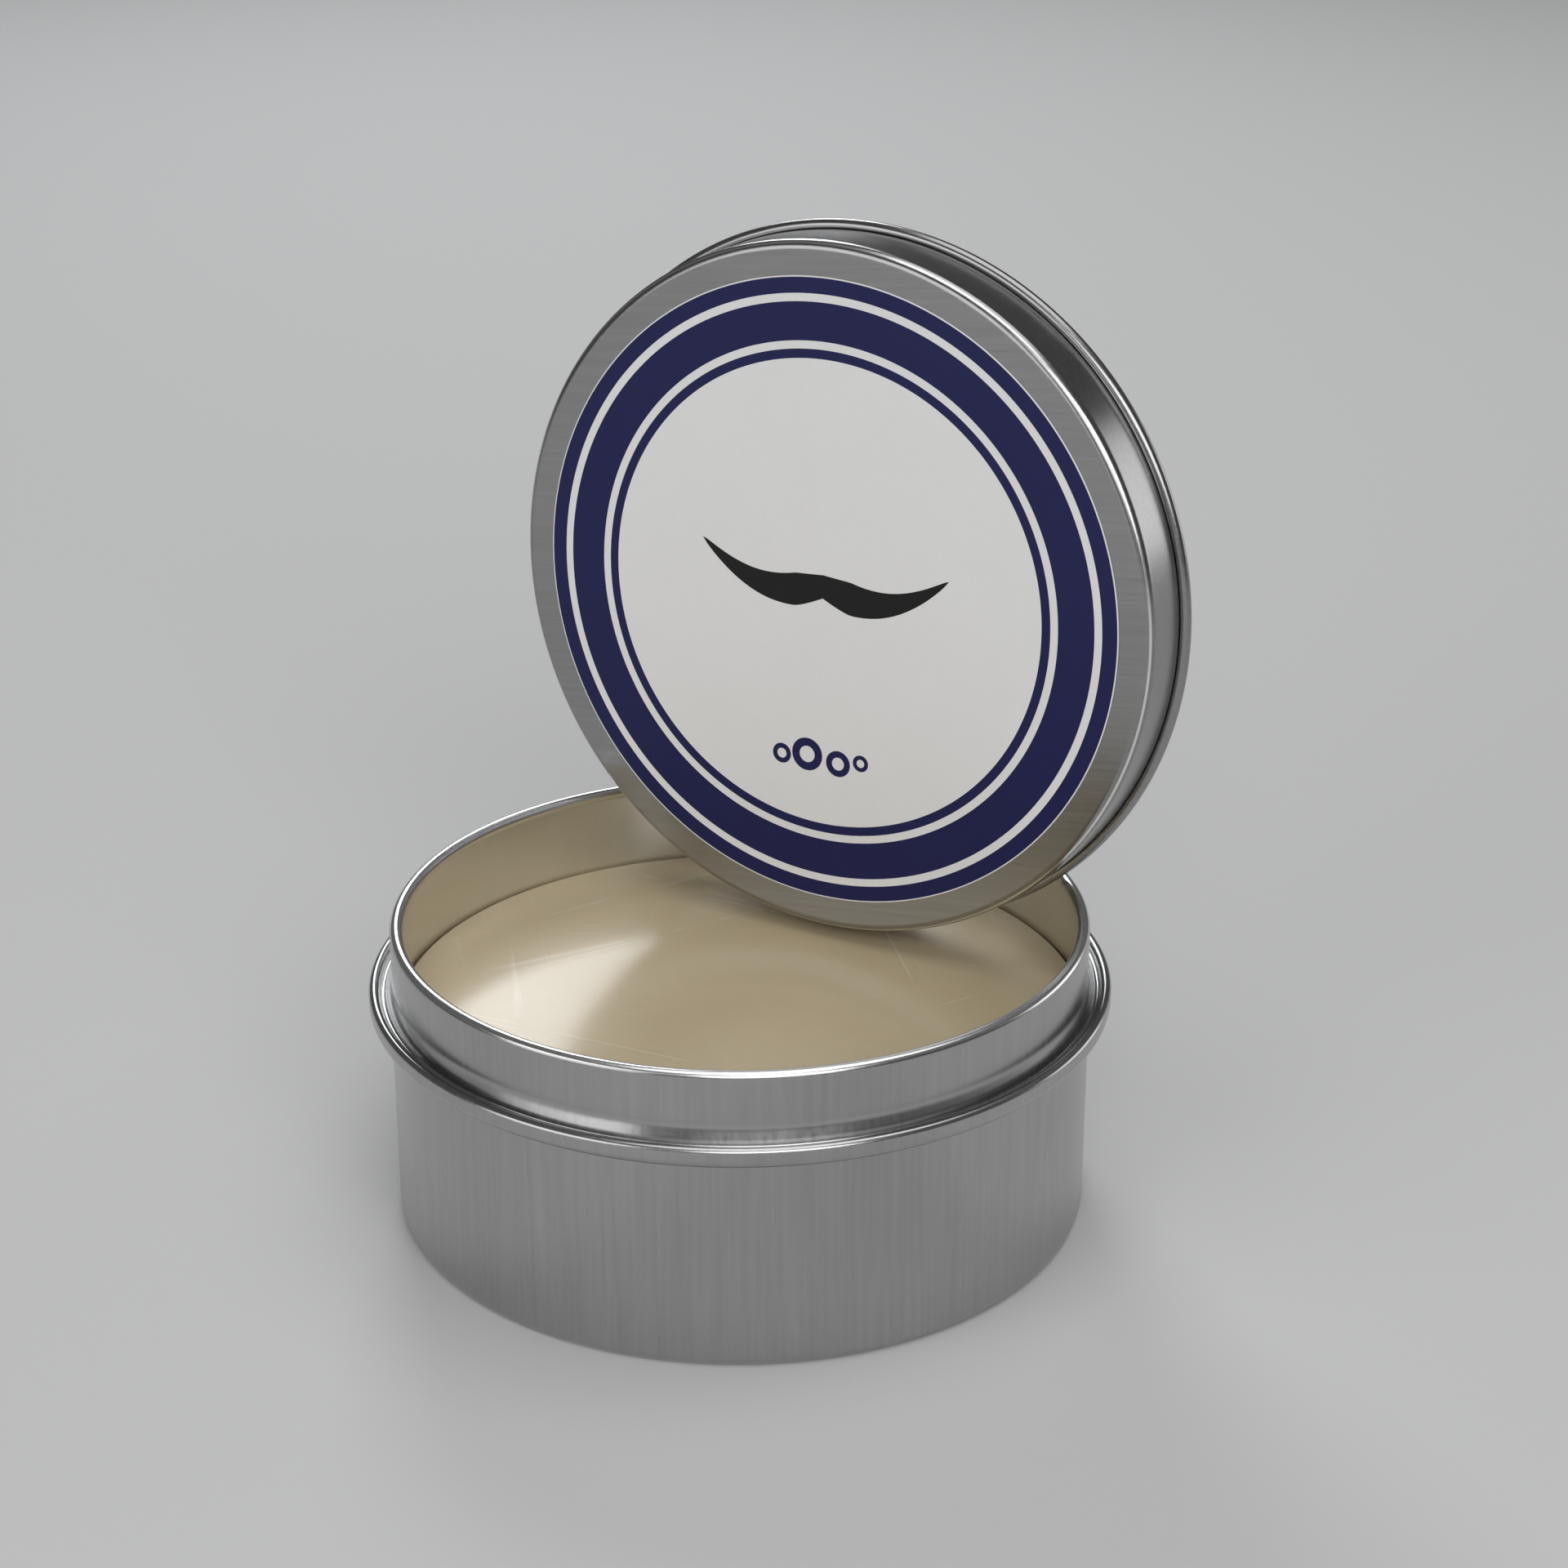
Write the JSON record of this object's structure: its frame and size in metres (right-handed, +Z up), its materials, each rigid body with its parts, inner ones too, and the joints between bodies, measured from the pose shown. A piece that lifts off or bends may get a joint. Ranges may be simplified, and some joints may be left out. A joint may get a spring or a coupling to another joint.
{
  "type": "shaving soap puck",
  "caption": "Round drawn aluminium tin filled with poured shaving soap, its slip lid with a round printed label standing upright in the tin.",
  "frame": {"origin": "centre of the tin's base, on the surface it stands on", "axes": "+Z up along the tin's axis; the lid's labelled face points along -Y"},
  "size_m": [0.08, 0.08, 0.1029],
  "materials": {
    "tin_aluminium": "drawn aluminium sheet, satin, with faint drawing marks",
    "soap": "cream hard soap, poured, slightly glossy",
    "lid_aluminium": "drawn aluminium sheet, satin, with faint rolling marks",
    "label": "coated paper label, printed with navy and white rings"
  },
  "bodies": {
    "tin": {"tin_cup": "tin_aluminium", "soap_puck": "soap"},
    "lid": {"lid_shell": "lid_aluminium", "lid_label": "label"}
  },
  "joints": [
    {"name": "lid_lift", "type": "slide", "parent": "tin", "child": "lid", "axis": [0, 0, 1], "range_m": [0, 0.05]}
  ]
}
